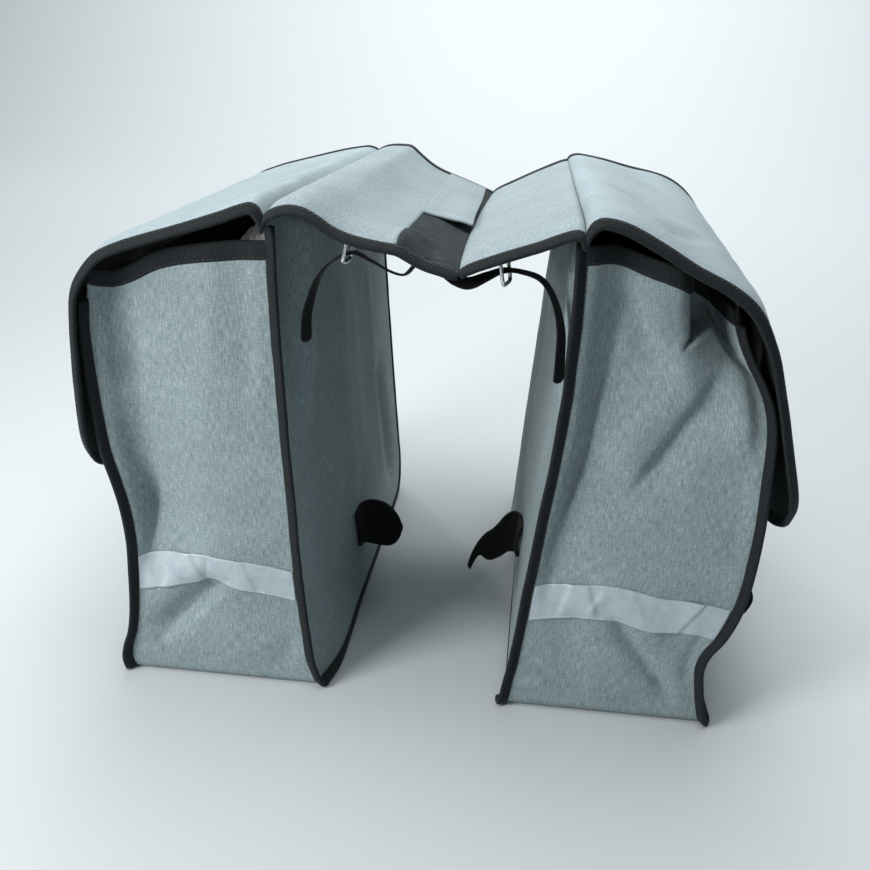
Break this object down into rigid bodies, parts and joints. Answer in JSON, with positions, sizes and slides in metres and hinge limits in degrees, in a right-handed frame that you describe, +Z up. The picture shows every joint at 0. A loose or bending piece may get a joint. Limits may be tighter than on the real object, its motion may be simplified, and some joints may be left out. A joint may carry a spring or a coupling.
{
  "type": "double bicycle pannier",
  "caption": "Double bicycle pannier of grey-blue cloth: open-topped bags with bound seams and hanging lids, joined by a bridge that lies over a luggage carrier.",
  "frame": {"origin": "centre of the bounding box's underside, on the floor that the bags stand on", "axes": "+X from the left bag to the right bag, +Y along the bicycle from the near end to the far end, +Z up"},
  "size_m": [0.4888, 0.3954, 0.3624],
  "materials": {
    "cloth": "matte melange weave",
    "tape": "ribbed matte tape",
    "reflective": "satin retroreflective",
    "pile": "loop pile",
    "webbing": "woven webbing",
    "steel": "bright plated wire"
  },
  "bodies": {
    "root": {"left_back_panel": "cloth", "left_front_panel": "cloth", "left_gusset": "cloth", "left_back_binding": "tape", "left_front_binding": "tape", "left_near_hem": "tape", "left_far_hem": "tape", "left_front_hem": "tape", "left_lid": "cloth", "left_lid_binding": "tape", "left_near_reflector": "reflective", "left_far_reflector": "reflective", "left_wheel_strap": "webbing", "left_strap": "webbing", "left_buckle": "steel", "left_buckle_tab": "webbing", "right_back_panel": "cloth", "right_front_panel": "cloth", "right_gusset": "cloth", "right_back_binding": "tape", "right_front_binding": "tape", "right_near_hem": "tape", "right_far_hem": "tape", "right_front_hem": "tape", "right_lid": "cloth", "right_lid_binding": "tape", "right_near_reflector": "reflective", "right_far_reflector": "reflective", "right_wheel_strap": "webbing", "right_strap": "webbing", "right_buckle": "steel", "right_buckle_tab": "webbing", "right_front_tab": "webbing", "bridge_left_panel": "cloth", "bridge_right_panel": "cloth", "bridge_middle_strip": "pile", "bridge_cover_tab": "cloth", "bridge_left_near_binding": "tape", "bridge_left_far_binding": "tape", "bridge_right_near_binding": "tape", "bridge_right_far_binding": "tape"}
  },
  "joints": []
}
